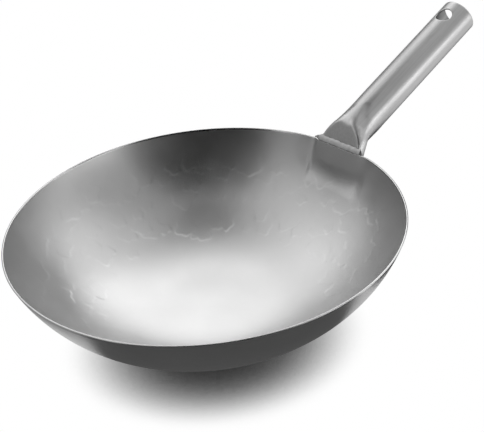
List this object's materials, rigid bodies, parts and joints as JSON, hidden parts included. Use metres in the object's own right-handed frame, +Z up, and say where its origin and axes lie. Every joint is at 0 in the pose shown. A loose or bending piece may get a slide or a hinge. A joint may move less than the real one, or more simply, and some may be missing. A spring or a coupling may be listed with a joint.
{
  "type": "wok",
  "caption": "Round wok with a small flat base and a thin hammered wall, and a straight tube handle, crushed flat and welded to the wall, with a hang hole through its open end.",
  "frame": {"origin": "middle of the flat base's underside, where the wok stands", "axes": "+Z up, out of the bowl's mouth; +X from the bowl's middle along the handle; +Y to the left of the handle as seen from the bowl"},
  "size_m": [0.487, 0.3198, 0.1628],
  "materials": {
    "bowl_titanium": "bare titanium sheet, satin, with shallow hammer marks inside",
    "handle_titanium": "bare titanium tube, finely brushed along its length",
    "weld_titanium": "bare titanium weld bead, fine ripples"
  },
  "bodies": {
    "root": {"wok_bowl": "bowl_titanium", "tube_handle": "handle_titanium", "rim_weld": "weld_titanium", "left_side_weld": "weld_titanium", "right_side_weld": "weld_titanium", "foot_weld": "weld_titanium"}
  },
  "joints": []
}
